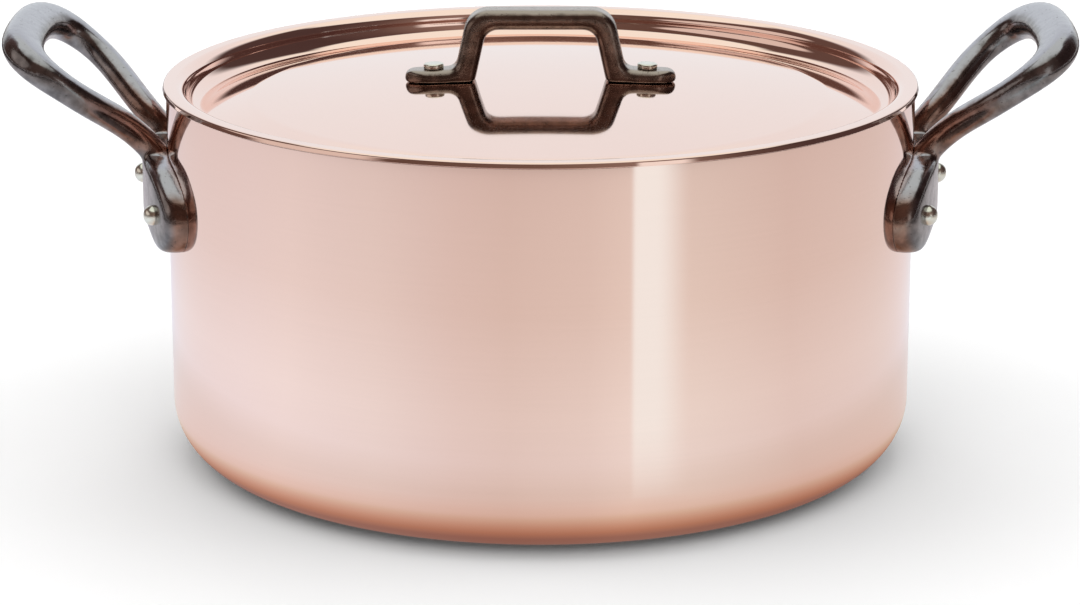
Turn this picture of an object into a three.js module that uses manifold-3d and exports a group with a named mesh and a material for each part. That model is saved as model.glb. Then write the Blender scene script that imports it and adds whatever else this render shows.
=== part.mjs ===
// A round copper stew pot with a drop-in lid: a copper shell lined with steel, two cast-iron loop
// handles riveted to its wall, and a dished copper lid carrying a riveted cast-iron bridge handle.
// Millimetres, +Z up, origin on the table under the middle of the base, side handles along X.
import * as THREE from "three";
import { mergeVertices } from "three/addons/utils/BufferGeometryUtils.js";
import Module from "manifold-3d";

const wasm = await Module();
wasm.setup();

// Driving dimensions: pot
const potRadius = 122;
const potHeight = 123;
const potCornerRadius = 20;
const potCopper = 1.6;
const potLining = 0.4;

// Driving dimensions: lid
const lidOverhang = 1;
const lidFlangeWidth = 4.2;
const lidShoulderRadius = 4.3;
const lidRootRadius = 5;
const lidGrooveWidth = 10.5;
const lidGrooveSlope = Math.PI / 9;
const lidDomeRadius = 640;
const lidDomeBelowFlange = 0.5;
const lidCopper = 1.1;
const lidLining = 0.4;

// Driving dimensions: side handles
const plateThickness = 8;
const lobeThickness = 7;
const plateBottom = 79;
const plateTop = 103.5;
const plateDip = 3;
const lobeSpread = 38;
const lobeHeight = 87.5;
const lobeRadius = 11.5;
const shoulderDrop = 1.8;
const armSpread = 16;
const armRise = 1;
const gripSpread = 35.7;
const gripReach = 44.9;
const gripRise = 35.1;
const gripArch = 6.2;
const armHalfWidth = 4.7;
const armHalfThickness = 4.3;
const gripHalfWidth = 6.8;
const gripHalfThickness = 4.9;
const loopSquareness = 1.3;
const centreRivetDrop = 11.1;

// The loop's curve, as shares of its reach: where it starts, bends, leaves the arms' line, flares out,
// is widest and turns in to the grip, and where the bar broadens. The last is a share of its spread.
const loopStart = -0.12;
const loopBend = 0.444;
const loopLeave = 0.29;
const loopFlare = 0.4;
const loopWidest = 0.74;
const loopTurn = 0.92;
const loopBroadens = [0.5, 0.97];
const gripStraight = 0.76;

// Driving dimensions: lid handle
const bridgeWidth = 11.4;
const bridgeThickness = 5.4;
const bridgeFoot = 4.3;
const bridgeHeight = 22.2;
const bridgeOpening = 43.8;
const footLength = 16.7;
const bridgeLean = 0.22;
const bridgeCornerLength = 7.5;
const footCornerLength = 4.2;
const bridgeSquareness = 1.7;
const rivetFromLeg = 7;

// Driving dimensions: rivets
const rivetShankRadius = 2;
const sideHeadRadius = 3.3;
const sideHeadHeight = 3;
const lidHeadRadius = 3.1;
const lidHeadHeight = 1.6;
const innerHeadRadius = 4.2;
const innerHeadHeight = 1.4;
const innerHeadEdge = 0.3;
const spotFace = 0.4;
const spotMargin = 0.5;

// Clearances
const bondGap = 0.05;
const restGap = 0.2;
const seatGap = 0.35;
const holeGap = 0.25;

// Facets
const roundSegments = 60;
const rivetSegments = 12;
const arcDivisions = 2;
const cornerDivisions = 3;
const loopSteps = 36;
const bridgeSteps = 44;
const sectionSides = 12;

const copper = new THREE.MeshStandardMaterial({ color: 0xe3b09a, roughness: 0.14, metalness: 1 });
const steel = new THREE.MeshStandardMaterial({ color: 0xc9c9c6, roughness: 0.32, metalness: 1 });
const castIron = new THREE.MeshStandardMaterial({ color: 0x4a4543, roughness: 0.42, metalness: 0.7 });
const rivetSteel = new THREE.MeshStandardMaterial({ color: 0xd2cdc2, roughness: 0.25, metalness: 1 });

// Solids: a closed geometry as a manifold, and back again.
function solid(geometry) {
  const bare = new THREE.BufferGeometry();
  bare.setAttribute("position", geometry.getAttribute("position"));
  bare.setIndex(geometry.getIndex());
  const merged = mergeVertices(bare, 1e-4);
  return new wasm.Manifold(
    new wasm.Mesh({
      numProp: 3,
      vertProperties: merged.getAttribute("position").array,
      triVerts: new Uint32Array(merged.getIndex().array),
    }),
  );
}

function geometryOf(body) {
  const mesh = body.getMesh();
  const geometry = new THREE.BufferGeometry();
  geometry.setAttribute("position", new THREE.BufferAttribute(mesh.vertProperties, 3));
  geometry.setIndex(new THREE.BufferAttribute(mesh.triVerts, 1));
  geometry.computeVertexNormals();
  return geometry;
}

// A profile of (radius, height) points turned about Z, with its outer side running upwards.
function turned(points, segments = roundSegments) {
  return new THREE.LatheGeometry(points, segments).rotateX(Math.PI / 2);
}

// A solid moved to where a group or mesh of the same place would hold it.
function placed(body, place) {
  place.updateMatrix();
  return body.transform(place.matrix.toArray());
}

// The pot's wall as seen in section, from the axis along the base and up to the rim, set in from
// the outside by a depth.
function potLine(depth) {
  const radius = potRadius - depth;
  const corner = potCornerRadius - depth;
  const line = new THREE.Path();
  line.moveTo(0, depth);
  line.lineTo(potRadius - potCornerRadius, depth);
  line.absarc(potRadius - potCornerRadius, potCornerRadius, corner, -Math.PI / 2, 0, false);
  line.lineTo(radius, potHeight);
  return line.getPoints(cornerDivisions);
}

// A layer of sheet between two depths, closed along its edge.
function sheet(line, outerDepth, innerDepth) {
  return turned([...line(outerDepth), ...line(innerDepth).reverse()]);
}

// The lid's levels: its lining rests on the rim, its dome rises to just under the flange.
const lidSheet = lidCopper + bondGap + lidLining;
const flangeTop = potHeight + restGap + lidSheet;
const domeTop = flangeTop - lidDomeBelowFlange;
const domeCentre = domeTop - lidDomeRadius;
const lidRadius = potRadius + lidOverhang;
const lidWallRadius = lidRadius - lidFlangeWidth - lidShoulderRadius;
const browRadius = lidWallRadius - lidGrooveWidth;
const browLean = Math.asin(browRadius / lidDomeRadius);
const rootCentre = lidWallRadius - lidRootRadius;
const rootHeight = domeHeight(browRadius) - (rootCentre - browRadius) * Math.tan(lidGrooveSlope)
  + lidRootRadius / Math.cos(lidGrooveSlope);

// The lid as seen in section, at a depth below its upper face. It is drawn from the flange's edge down
// the wall, through the groove and up over the dome, and given from the axis outwards.
function lidLine(depth) {
  const line = new THREE.Path();
  line.moveTo(lidRadius, flangeTop - depth);
  line.lineTo(lidRadius - lidFlangeWidth, flangeTop - depth);
  line.absarc(
    lidRadius - lidFlangeWidth, flangeTop - lidShoulderRadius,
    lidShoulderRadius - depth, Math.PI / 2, Math.PI, false,
  );
  line.absarc(rootCentre, rootHeight, lidRootRadius + depth, 0, -Math.PI / 2 - lidGrooveSlope, true);
  line.absarc(0, domeCentre, lidDomeRadius - depth, Math.PI / 2 - browLean, Math.PI / 2, false);
  return line.getPoints(arcDivisions).reverse();
}

// Height of the lid's upper face over the dome.
function domeHeight(x) {
  return domeCentre + Math.sqrt(lidDomeRadius ** 2 - x ** 2);
}

// A rivet on +Z: a domed head over its seat at height zero, the shank down through a stack of the
// given grip, and a low head on the far side.
function rivetGeometry(grip, headRadius, headHeight) {
  const crown = headHeight * 0.35;
  const low = -grip - 2 * seatGap;
  const line = new THREE.Path();
  line.moveTo(0, low - innerHeadHeight);
  line.quadraticCurveTo(innerHeadRadius * 0.8, low - innerHeadHeight, innerHeadRadius, low - innerHeadEdge);
  line.lineTo(innerHeadRadius, low);
  line.lineTo(rivetShankRadius, low);
  line.lineTo(rivetShankRadius, 0);
  line.lineTo(headRadius, 0);
  line.lineTo(headRadius, headHeight - crown);
  line.quadraticCurveTo(headRadius * 0.8, headHeight, 0, headHeight);
  return turned(line.getPoints(arcDivisions), rivetSegments);
}

function rivetHole(grip) {
  const reach = 2 * grip;
  return solid(
    new THREE.CylinderGeometry(
      rivetShankRadius + holeGap, rivetShankRadius + holeGap, 2 * reach, rivetSegments,
    ).rotateX(Math.PI / 2),
  );
}

// Where the rivets of one side handle sit, in the frame of a handle on the +X side.
const plateSeat = potRadius + seatGap;
const lobeAngle = Math.asin(lobeSpread / (plateSeat + lobeThickness));
const potSheet = potCopper + bondGap + potLining;
const sideRivets = [
  { angle: 0, height: plateTop - centreRivetDrop, thickness: plateThickness },
  { angle: -lobeAngle, height: lobeHeight, thickness: lobeThickness },
  { angle: lobeAngle, height: lobeHeight, thickness: lobeThickness },
];

// How much a side rivet holds together: the pot's wall and the plate, less the plate's spot face.
function sideGrip({ thickness }) {
  return potSheet + seatGap + thickness - spotFace;
}

// A place over a spot face on the handle's plate, with +Z pointing out from the pot.
function wallPlace({ angle, height, thickness }) {
  const place = new THREE.Object3D();
  const seat = plateSeat + thickness - spotFace + seatGap;
  place.position.set(seat * Math.cos(angle), seat * Math.sin(angle), height);
  place.rotation.set(0, Math.PI / 2, angle, "ZYX");
  return place;
}

// Where the rivets of the lid handle sit: on the handle's feet, square to the dome.
const legOuterX = bridgeOpening / 2 + bridgeThickness;
const footTipX = legOuterX + footLength;
const lidRivetX = legOuterX + rivetFromLeg;
const footTop = bridgeFoot + seatGap;
const lidGrip = lidSheet + footTop;
const lidRivets = [
  { name: "left", side: -1 },
  { name: "right", side: 1 },
];

function domePlace({ side }) {
  const place = new THREE.Object3D();
  const tilt = Math.asin(lidRivetX / lidDomeRadius) * side;
  const seat = lidDomeRadius + footTop + seatGap;
  place.position.set(seat * Math.sin(tilt), 0, domeCentre + seat * Math.cos(tilt));
  place.rotation.set(0, tilt, 0);
  return place;
}

// The handle's plate: a bell-shaped outline with a lobe at each lower corner, cut to a face that
// curves more than the pot's wall, so the plate is thickest in the middle.
function handlePlate() {
  const armOuter = armSpread + armHalfWidth;
  const armInner = armSpread - armHalfWidth;
  const shoulder = plateTop - shoulderDrop;
  const lobeLow = -2.2;
  const lobeHigh = 0.9;
  const lobePoint = (angle) => [
    lobeSpread + lobeRadius * Math.cos(angle), lobeHeight + lobeRadius * Math.sin(angle),
  ];
  const [highY, highZ] = lobePoint(lobeHigh);
  const outline = new THREE.Shape();
  outline.moveTo(0, plateBottom);
  outline.quadraticCurveTo(lobeSpread / 2, plateBottom, ...lobePoint(lobeLow));
  outline.absarc(lobeSpread, lobeHeight, lobeRadius, lobeLow, lobeHigh, false);
  outline.quadraticCurveTo(lobeSpread, shoulder, armOuter, plateTop);
  outline.lineTo(armInner, plateTop);
  outline.quadraticCurveTo(0, plateTop - plateDip, -armInner, plateTop);
  outline.lineTo(-armOuter, plateTop);
  outline.quadraticCurveTo(-lobeSpread, shoulder, -highY, highZ);
  outline.absarc(-lobeSpread, lobeHeight, lobeRadius, Math.PI - lobeHigh, Math.PI - lobeLow, false);
  outline.quadraticCurveTo(-lobeSpread / 2, plateBottom, 0, plateBottom);
  const block = new THREE.ExtrudeGeometry(outline, {
    depth: potRadius, bevelEnabled: false, curveSegments: 2 * arcDivisions,
  });
  // The outline's x and y become Y and Z, and it is extruded along X from half a radius out.
  block.rotateX(Math.PI / 2).rotateZ(Math.PI / 2).translate(potRadius / 2, 0, 0);
  const lobeX = (plateSeat + lobeThickness) * Math.cos(lobeAngle);
  const bulge = plateSeat + plateThickness - lobeX;
  const faceRadius = (lobeSpread ** 2 + bulge ** 2) / (2 * bulge);
  const face = new THREE.CylinderGeometry(faceRadius, faceRadius, 4 * potHeight, 2 * roundSegments)
    .rotateX(Math.PI / 2)
    .translate(plateSeat + plateThickness - faceRadius, 0, 0);
  return solid(block).intersect(solid(face));
}

// The handle's loop seen from above its own plane: how far along the reach it is, from 0 at the plate
// to 1 at the grip, and how far to the side. Each arm starts short of 0, inside the pot's wall, where
// it is cut flush.
function loopOutline() {
  const half = new THREE.CurvePath();
  const point = (u, y) => new THREE.Vector2(u, y);
  const start = point(loopStart, armSpread);
  const widest = point(loopWidest, gripSpread);
  half.add(new THREE.CubicBezierCurve(
    point(0, armSpread), point(loopLeave, armSpread), point(loopFlare, gripSpread), widest,
  ));
  half.add(new THREE.CubicBezierCurve(
    widest, point(loopTurn, gripSpread), point(1, gripStraight * gripSpread), point(1, 0),
  ));
  const there = [start, ...half.getSpacedPoints(loopSteps / 2)];
  const back = there.slice(0, -1).reverse().map(({ x, y }) => new THREE.Vector2(x, -y));
  return [...there, ...back];
}

// The handle's loop: an oval bar that leaves the plate steeply, levels off a little and broadens
// into the grip.
function handleLoop() {
  const armHeight = plateTop + armRise;
  const root = new THREE.Vector2(plateSeat + plateThickness / 2, armHeight);
  const tip = new THREE.Vector2(potRadius + gripReach, armHeight + gripRise);
  const bend = new THREE.Vector2().lerpVectors(root, tip, loopBend);
  bend.y += gripArch;
  const lift = new THREE.QuadraticBezierCurve(root, bend, tip);
  const outline = loopOutline();
  const centres = outline.map(({ x: u, y }) => {
    const { x, y: z } = lift.getPoint(u);
    return new THREE.Vector3(x, y, z);
  });
  const stations = centres.map((centre, i) => {
    const rise = lift.getTangent(Math.max(outline[i].x, 0));
    const grip = THREE.MathUtils.smoothstep(outline[i].x, ...loopBroadens);
    return {
      centre,
      up: new THREE.Vector3(-rise.y, 0, rise.x),
      halfWidth: THREE.MathUtils.lerp(armHalfWidth, gripHalfWidth, grip),
      halfThickness: THREE.MathUtils.lerp(armHalfThickness, gripHalfThickness, grip),
    };
  });
  return solid(barGeometry(stations, loopSquareness));
}

// A closed bar through stations along its length. Each gives its centre, the way its thickness points
// and its half sizes. A squareness of 1 makes the section an ellipse, and more makes it boxier.
function barGeometry(stations, squareness) {
  const rounded = (value) => Math.sign(value) * Math.abs(value) ** (1 / squareness);
  const last = stations.length - 1;
  const positions = [];
  stations.forEach(({ centre, up, halfWidth, halfThickness }, i) => {
    const before = stations[Math.max(i - 1, 0)].centre;
    const after = stations[Math.min(i + 1, last)].centre;
    const along = after.clone().sub(before);
    const across = new THREE.Vector3().crossVectors(up, along).normalize();
    for (let k = 0; k < sectionSides; k++) {
      const turn = (2 * Math.PI * k) / sectionSides;
      const rim = centre.clone()
        .addScaledVector(across, halfWidth * rounded(Math.cos(turn)))
        .addScaledVector(up, halfThickness * rounded(Math.sin(turn)));
      positions.push(rim.x, rim.y, rim.z);
    }
  });
  const index = [];
  for (let i = 0; i < last; i++) {
    for (let k = 0; k < sectionSides; k++) {
      const a = i * sectionSides + k;
      const b = i * sectionSides + ((k + 1) % sectionSides);
      index.push(a, b, b + sectionSides, a, b + sectionSides, a + sectionSides);
    }
  }
  const end = last * sectionSides;
  for (let k = 1; k + 1 < sectionSides; k++) {
    index.push(0, k + 1, k, end, end + k, end + k + 1);
  }
  const geometry = new THREE.BufferGeometry();
  geometry.setAttribute("position", new THREE.Float32BufferAttribute(positions, 3));
  geometry.setIndex(index);
  return geometry;
}

// One side handle on the +X side: plate and loop in one casting, drilled for its rivets.
function sideHandleGeometry() {
  const column = turned([
    new THREE.Vector2(0, 0),
    new THREE.Vector2(plateSeat, 0),
    new THREE.Vector2(plateSeat, 2 * potHeight),
    new THREE.Vector2(0, 2 * potHeight),
  ]);
  let casting = handlePlate().add(handleLoop()).subtract(solid(column));
  for (const rivet of sideRivets) {
    const place = wallPlace(rivet);
    casting = casting.subtract(placed(rivetHole(sideGrip(rivet)), place));
    casting = casting.subtract(placed(spotCut(), place));
  }
  return geometryOf(casting);
}

// The flat cut into the plate under a rivet's head, reaching out past the head.
function spotCut() {
  const radius = sideHeadRadius + spotMargin;
  const depth = 2 * sideHeadHeight;
  return solid(
    new THREE.CylinderGeometry(radius, radius, depth, 2 * rivetSegments)
      .rotateX(Math.PI / 2)
      .translate(0, 0, depth / 2 - seatGap),
  );
}

// The middle line of the lid's bridge handle in its own plane, from the left foot's tip to the right
// foot's: along the dome, up a leaning leg, over the top and down again.
function bridgeLine() {
  const footLevel = (x) => domeHeight(x) + seatGap + bridgeFoot / 2;
  const tip = new THREE.Vector2(footTipX, footLevel(footTipX));
  const legX = legOuterX - bridgeThickness / 2;
  const ankle = new THREE.Vector2(legX, footLevel(legX));
  const top = domeTop + seatGap + bridgeHeight - bridgeThickness / 2;
  const knee = new THREE.Vector2(legX - bridgeLean * (top - ankle.y), top);
  const mirrored = ({ x, y }) => new THREE.Vector2(-x, y);
  const corners = [mirrored(ankle), mirrored(knee), knee, ankle];
  const cuts = [footCornerLength, bridgeCornerLength, bridgeCornerLength, footCornerLength];
  const ends = [mirrored(tip), ...corners, tip];
  const line = new THREE.Path();
  line.moveTo(-tip.x, tip.y);
  corners.forEach((corner, i) => {
    const before = ends[i].clone().sub(corner).setLength(cuts[i]).add(corner);
    const after = ends[i + 2].clone().sub(corner).setLength(cuts[i]).add(corner);
    line.lineTo(before.x, before.y);
    line.quadraticCurveTo(corner.x, corner.y, after.x, after.y);
  });
  line.lineTo(tip.x, tip.y);
  return line;
}

// The lid's bridge handle: a flat bar bent up from two feet that are rounded in plan.
function bridgeGeometry() {
  const line = bridgeLine();
  const halfWidth = bridgeWidth / 2;
  const tipDepth = 0.1 * halfWidth;
  const stations = line.getSpacedPoints(bridgeSteps).map(({ x, y: z }, i) => {
    const along = line.getTangentAt(i / bridgeSteps);
    const inset = Math.min((footTipX - Math.abs(x) + tipDepth) / halfWidth, 1);
    const plan = Math.sqrt(1 - (1 - inset) ** 2);
    const rise = THREE.MathUtils.smoothstep(z - domeTop, bridgeFoot, 2 * bridgeFoot);
    const thickness = THREE.MathUtils.lerp(bridgeFoot, bridgeThickness, rise);
    return {
      centre: new THREE.Vector3(x, 0, z),
      up: new THREE.Vector3(-along.y, 0, along.x),
      halfWidth: halfWidth * plan,
      halfThickness: thickness / 2,
    };
  });
  let casting = solid(barGeometry(stations, bridgeSquareness));
  for (const rivet of lidRivets) {
    casting = casting.subtract(placed(rivetHole(lidGrip), domePlace(rivet)));
  }
  return geometryOf(casting);
}

// The two handle frames: the same handle, turned half round for the left side, with the names of its
// rivets in the order above. The front is the -Y side.
const sides = [
  { name: "right", turn: 0, rivets: ["top", "front", "back"] },
  { name: "left", turn: Math.PI, rivets: ["top", "back", "front"] },
];

// Drills the side handles' rivet holes through a layer of the pot.
function drilledWall(layer) {
  let wall = solid(layer);
  for (const { turn } of sides) {
    const frame = new THREE.Object3D();
    frame.rotation.z = turn;
    for (const rivet of sideRivets) {
      wall = wall.subtract(placed(placed(rivetHole(sideGrip(rivet)), wallPlace(rivet)), frame));
    }
  }
  return geometryOf(wall);
}

// Drills the lid handle's rivet holes through a layer of the lid.
function drilledLid(layer) {
  let disc = solid(layer);
  for (const rivet of lidRivets) {
    disc = disc.subtract(placed(rivetHole(lidGrip), domePlace(rivet)));
  }
  return geometryOf(disc);
}

function named(name, geometry, material) {
  const mesh = new THREE.Mesh(geometry, material);
  mesh.name = name;
  return mesh;
}

// The pot: copper outside, steel inside.
function pot() {
  const group = new THREE.Group();
  const shell = sheet(potLine, 0, potCopper);
  const lining = sheet(potLine, potCopper + bondGap, potSheet);
  group.add(named("pot_shell", drilledWall(shell), copper));
  group.add(named("pot_lining", drilledWall(lining), steel));
  return group;
}

// One side handle with its three rivets.
function sideHandle({ name, turn, rivets }) {
  const group = new THREE.Group();
  group.rotation.z = turn;
  group.add(named(`${name}_handle`, sideHandleGeometry(), castIron));
  sideRivets.forEach((rivet, i) => {
    const mesh = named(
      `${name}_handle_rivet_${rivets[i]}`,
      rivetGeometry(sideGrip(rivet), sideHeadRadius, sideHeadHeight), rivetSteel,
    );
    const place = wallPlace(rivet);
    mesh.position.copy(place.position);
    mesh.rotation.copy(place.rotation);
    group.add(mesh);
  });
  return group;
}

// The lid: copper above, steel below, with its handle and two rivets.
function lid() {
  const group = new THREE.Group();
  const shell = sheet(lidLine, lidCopper, 0);
  const lining = sheet(lidLine, lidSheet, lidCopper + bondGap);
  group.add(named("lid_shell", drilledLid(shell), copper));
  group.add(named("lid_lining", drilledLid(lining), steel));
  group.add(named("lid_handle", bridgeGeometry(), castIron));
  for (const rivet of lidRivets) {
    const mesh = named(
      `lid_handle_rivet_${rivet.name}`,
      rivetGeometry(lidGrip, lidHeadRadius, lidHeadHeight), rivetSteel,
    );
    const place = domePlace(rivet);
    mesh.position.copy(place.position);
    mesh.rotation.copy(place.rotation);
    group.add(mesh);
  }
  return group;
}

const stewPot = new THREE.Group();
stewPot.name = "stew_pot";
stewPot.add(pot());
for (const side of sides) stewPot.add(sideHandle(side));
stewPot.add(lid());

export default stewPot;
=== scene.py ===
"""A copper stew pot with a drop-in lid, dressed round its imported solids.

Turned copper and steel sheet, cast-iron handles and steel rivets stand where the solids are, on a
plain white stage. Metres, +Z up, the side handles along X, the front towards -Y.
"""

import math

import bmesh
import bpy
from mathutils import Matrix, Vector


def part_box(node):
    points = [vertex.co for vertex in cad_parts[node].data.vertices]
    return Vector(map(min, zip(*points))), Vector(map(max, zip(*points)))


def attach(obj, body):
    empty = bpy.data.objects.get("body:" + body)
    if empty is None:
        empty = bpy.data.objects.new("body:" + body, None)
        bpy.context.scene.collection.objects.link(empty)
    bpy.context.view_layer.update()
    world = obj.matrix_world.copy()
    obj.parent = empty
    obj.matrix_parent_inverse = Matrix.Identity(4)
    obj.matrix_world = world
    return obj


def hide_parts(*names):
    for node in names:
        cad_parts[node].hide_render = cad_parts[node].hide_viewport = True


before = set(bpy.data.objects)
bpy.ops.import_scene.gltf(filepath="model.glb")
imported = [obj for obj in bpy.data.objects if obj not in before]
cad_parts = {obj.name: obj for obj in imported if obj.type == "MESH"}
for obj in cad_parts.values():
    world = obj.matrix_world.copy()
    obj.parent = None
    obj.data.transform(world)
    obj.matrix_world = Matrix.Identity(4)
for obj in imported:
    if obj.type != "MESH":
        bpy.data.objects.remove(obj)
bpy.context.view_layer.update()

bl_info = {
    "name": "Copper stew pot",
    "version": (1, 0, 0),
    "blender": (4, 5, 0),
    "location": "3D View > Sidebar > Stew Pot",
    "description": "Builds a lined copper stew pot with riveted iron handles and a drop-in lid",
    "category": "Add Mesh",
}

MM = 0.001
POT_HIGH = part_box("pot_shell")[1]
LID_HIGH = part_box("lid_shell")[1]
BRIDGE_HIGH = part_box("lid_handle")[1]

# How finely the pieces are divided
TURN_STEPS = 256
RIVET_STEPS = 48
CORNER_STEPS = 24
EDGE_STEPS = 4
LINE_STEP = 4 * MM
RIVET_STEP = 0.6 * MM
SHARP_BEND = math.radians(8)
BEND_GUARD = 0.1 * MM
LOOP_STEPS = 96
ROOT_STEPS = 8
SECTION_STEPS = 5
PLATE_STRIP = 2.5 * MM
TIP_STEPS = 8
ROUND_STEPS = 4
MERGE_REACH = 1e-6
CUT_REACH = 1e-7

# Passes of the file over each casting
PLATE_FILING = 200
LOOP_FILING = 90
BRIDGE_FILING = 40

# Rounded shares of a sheet's thickness and of the rivet heads' heights
RIM_SHARE = 0.48
LINING_SHARE = 0.4
SIDE_DOME = 0.85
LID_DOME = 0.4
INNER_DOME = 0.9
HEAD_FOOT_ROUND = 0.25 * MM

# The side loop, as shares of its reach: where it leaves straight from the plate, flares, is widest, turns
# in and bends over, and between which it broadens. The grip's straight part is a share of its spread.
LOOP_LEAVE = 0.29
LOOP_FLARE = 0.4
LOOP_WIDEST = 0.74
LOOP_TURN = 0.92
LOOP_BEND = 0.444
LOOP_BROADENS = (0.55, 1)
GRIP_STRAIGHT = 0.76

# The side plate's outline: its headings as it comes to a lobe, passes its side and leaves it, and the
# hollow between the lobes as a share of their spread
LOBE_START = math.radians(-16)
LOBE_SIDE = math.radians(90)
LOBE_END = math.radians(141.6)
LOBE_EASE = 0.96
HOLLOW_SHARE = 0.68
HOLLOW_ROUND = 12 * MM
SHOULDER_ROUND = 20 * MM

# The lid handle's feet: the heel's rounding, the tip's as shares of its height, and its blunt end
HEEL_ROUND = 0.3 * MM
TIP_UNDER = 0.2
TIP_OVER = 0.6
TIP_BLUNT = 0.1

# Distances from the axis and heights over which a side handle's brown, a painted reflection of the copper,
# fades: at the wall, along an arm and above the plate
COPPER_REFLECTION_WALL = (125 * MM, 128 * MM)
COPPER_REFLECTION_ARM = (130 * MM, 152 * MM)
COPPER_REFLECTION_RISE = (100 * MM, 108 * MM)

# The photograph's camera
CAMERA_PLACE = (-0.00017, -1.1476, 0.3692)
CAMERA_TILT = math.radians(74.36)
CAMERA_LENS = 119.45

# The lamps, each with its place, its width and its power
LAMP_AIM = Vector((0, 0, 0.05))
LAMPS = {
    "top lamp": ((0, 0, 2), 1.8, 5),
    "left lamp": ((-1.6, 0, 1.5), 1.5, 10),
    "right lamp": ((1.6, 0, 1.5), 1.5, 10),
    "front lamp": ((0, -1.6, 1.5), 1.5, 10),
    "back lamp": ((0, 1.6, 1.5), 1.5, 10),
}

# The studio's white room: its plain light, and what mirrors and what dull surfaces in mirrors see of it
WHITE = (1, 1, 1)
ROOM_LIGHT = 0.6
SPILL_LIGHT = 0.25
OVERHEAD = (0.45, 0.75)
HORIZON_TINT = (0.91, 0.965, 1.0)
OVERHEAD_TINT = (1.0, 1.06, 0.98)
SPILL_TINT = (0.645, 0.88, 1.0)

# The floor, which turns white far from the pot
FLOOR_RADIUS = 8
FLOOR_DROP = 0.2 * MM
FLOOR_GLOW = 0.04
FLOOR_WHITENS = (0.9, 1.8)
RING_STEPS = 96

# The board round the pot, a glow that only the metals see and a painted reflection of the floor: tones by
# heading in degrees, tones by distance from the axis, dark and warm near the pot as a painted contact
# shadow and copper bounce, and a light strip between two soft edges in degrees
BOARD_INNER = 0.1045
BOARD_OUTER = 1.5
BOARD_EDGE = 3 * MM
BOARD_LIFT = 0.12 * MM
BOARD_FOCUS = 0.064
BOARD_GLOW = 1.6
BOARD_AROUND = [
    (-180, (1.05, 1.05, 1.1)), (-147, (1.06, 1.07, 1.18)), (-130, (1.11, 1.17, 1.25)),
    (-96, (1.14, 1.23, 1.33)), (-79, (1.16, 1.25, 1.33)), (-64, (1.12, 1.2, 1.27)),
    (-50, (1.1, 1.17, 1.22)), (-37, (1.06, 1.1, 1.14)), (-25, (1.03, 1.04, 1.06)),
    (-10, (1.0, 1.0, 1.0)), (14, (1.04, 1.06, 1.06)), (28, (1.12, 1.17, 1.17)),
    (47, (1.08, 1.14, 1.14)), (78, (1.0, 1.0, 1.0)), (117, (1.04, 1.07, 1.09)),
    (139, (1.09, 1.1, 1.16)), (151, (1.06, 1.06, 1.12)), (180, (1.05, 1.05, 1.1)),
]
# Tones by distance: dark and warm near the pot as a painted contact shadow and copper bounce, and dark far
# out
BOARD_OUTWARD = [
    (0.1, (0.26, 0.13, 0.1)), (0.113, (0.28, 0.15, 0.12)), (0.1165, (0.415, 0.216, 0.148)),
    (0.1185, (0.45, 0.238, 0.158)), (0.122, (0.554, 0.35, 0.26)), (0.129, (0.65, 0.518, 0.423)),
    (0.134, (0.715, 0.607, 0.547)), (0.15, (0.735, 0.66, 0.62)), (0.185, (0.74, 0.71, 0.69)),
    (0.215, (0.80, 0.80, 0.81)), (0.26, (0.81, 0.81, 0.81)), (0.40, (0.745, 0.705, 0.68)),
    (0.62, (0.71, 0.665, 0.645)), (0.7, (0.07, 0.05, 0.045)),
]
STRIP_START = (26.5, 28.5)
STRIP_END = (34, 46)
STRIP_OUTWARD = (0.15, 0.26)
STRIP_TONE = (0.6, 0.71, 0.735)

# The dark half of the studio: tones by heading, an oval pale window, and a bright post
DARK_RADIUS = 1.5
DARK_LOW = 0.06
DARK_HIGH = 2.1
DARK_REACH = math.radians(150)
DARK_FADE = 0.3
DARK_STEPS = 64
DARK_AROUND = [
    (-180, (0.13, 0.08, 0.07)), (-45, (0.125, 0.075, 0.06)), (0, (0.17, 0.11, 0.09)),
    (32, (0.28, 0.2, 0.17)), (60, (0.12, 0.075, 0.065)), (85, (0.075, 0.045, 0.042)),
    (180, (0.08, 0.053, 0.05)),
]
WINDOW_HEADING = math.radians(-75)
WINDOW_HEIGHT = 0.62
WINDOW_SPREAD = 0.6
WINDOW_RISE = 0.45
WINDOW_EDGE = (0.85, 1.05)
WINDOW_TONE = (0.75, 0.68, 0.63)
POST_END = (40, 46)
POST_TOP = (0.5, 0.62)
POST_TONE = (0.95, 0.95, 0.92)


def length(name, description, size):
    """A size that a user can change, given in millimetres and kept in metres."""
    return bpy.props.FloatProperty(
        name=name, description=description, default=size * MM,
        precision=5, subtype="DISTANCE", unit="LENGTH",
    )


def placed_length(name, description, size):
    """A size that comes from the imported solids, in metres."""
    return length(name, description, size / MM)


def colour(name, description, value):
    """A colour that a user can change, as linear red, green and blue."""
    return bpy.props.FloatVectorProperty(
        name=name, description=description, default=value, size=3, min=0, max=1, subtype="COLOR",
    )


class StewPotPotSizes(bpy.types.PropertyGroup):
    """Sizes of the pot's copper and its lining."""

    radius: placed_length("Radius", "Outside radius of the wall", POT_HIGH[0])
    height: placed_length("Height", "Height of the rim", POT_HIGH[2])
    corner: length("Corner radius", "Outside radius between base and wall", 20)
    copper: length("Copper", "Thickness of the copper", 1.6)
    lining: length("Lining", "Thickness of the steel lining", 0.4)
    bond: length("Bond", "Gap between copper and lining", 0.05)
    rim_round: length("Rim rounding", "Radius along the rim's edges", 0.3)


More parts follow.
